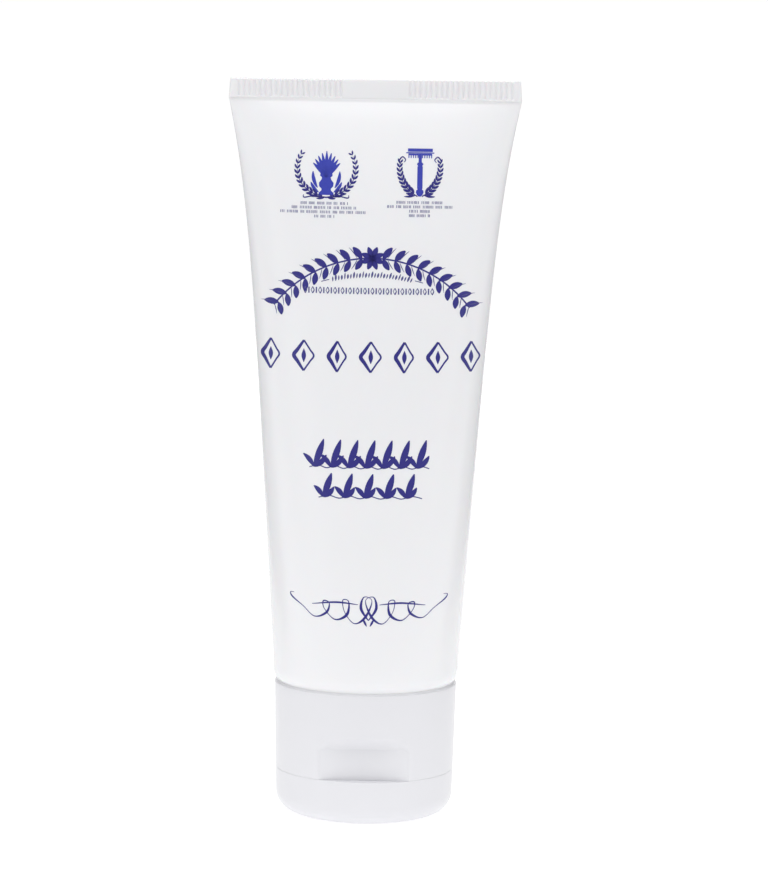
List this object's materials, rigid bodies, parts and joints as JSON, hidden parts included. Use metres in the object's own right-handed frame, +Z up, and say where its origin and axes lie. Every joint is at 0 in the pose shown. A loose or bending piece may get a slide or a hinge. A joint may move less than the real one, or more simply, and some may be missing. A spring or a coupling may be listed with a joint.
{
  "type": "shaving cream tube",
  "caption": "Squeeze tube that stands head-down on a flush flip-top cap: thin sleeve with a ribbed heat-sealed crimp, thumb recess, living hinge, and a lid whose plug closes the spout.",
  "frame": {"origin": "centre of the lid's flat standing face", "axes": "+Z up from the standing face to the crimp, X along the crimp's width, -Y the printed front with the thumb recess, +Y the hinge side"},
  "size_m": [0.0546, 0.035, 0.1382],
  "materials": {
    "sleeve_plastic": "gloss",
    "head_plastic": "satin",
    "cream": "satin",
    "cap_plastic": "satin",
    "hinge_plastic": "satin"
  },
  "bodies": {
    "tube": {"sleeve": "sleeve_plastic", "tube_head": "head_plastic", "cream": "cream"},
    "cap": {"cap_base": "cap_plastic", "hinge_web_left": "hinge_plastic", "hinge_web_right": "hinge_plastic", "spring_strap": "hinge_plastic"},
    "lid": {"lid": "cap_plastic"}
  },
  "joints": [
    {"name": "cap_swivel", "type": "hinge", "parent": "tube", "child": "cap", "pos_m": [0, 0, 0.014], "axis": [0, 0, 1], "continuous": true},
    {"name": "lid_hinge", "type": "hinge", "parent": "cap", "child": "lid", "pos_m": [0, 0.01581, 0.0085], "axis": [1, 0, 0], "range_deg": [0, 140], "deforming": ["hinge_web_left", "hinge_web_right", "spring_strap"]}
  ]
}
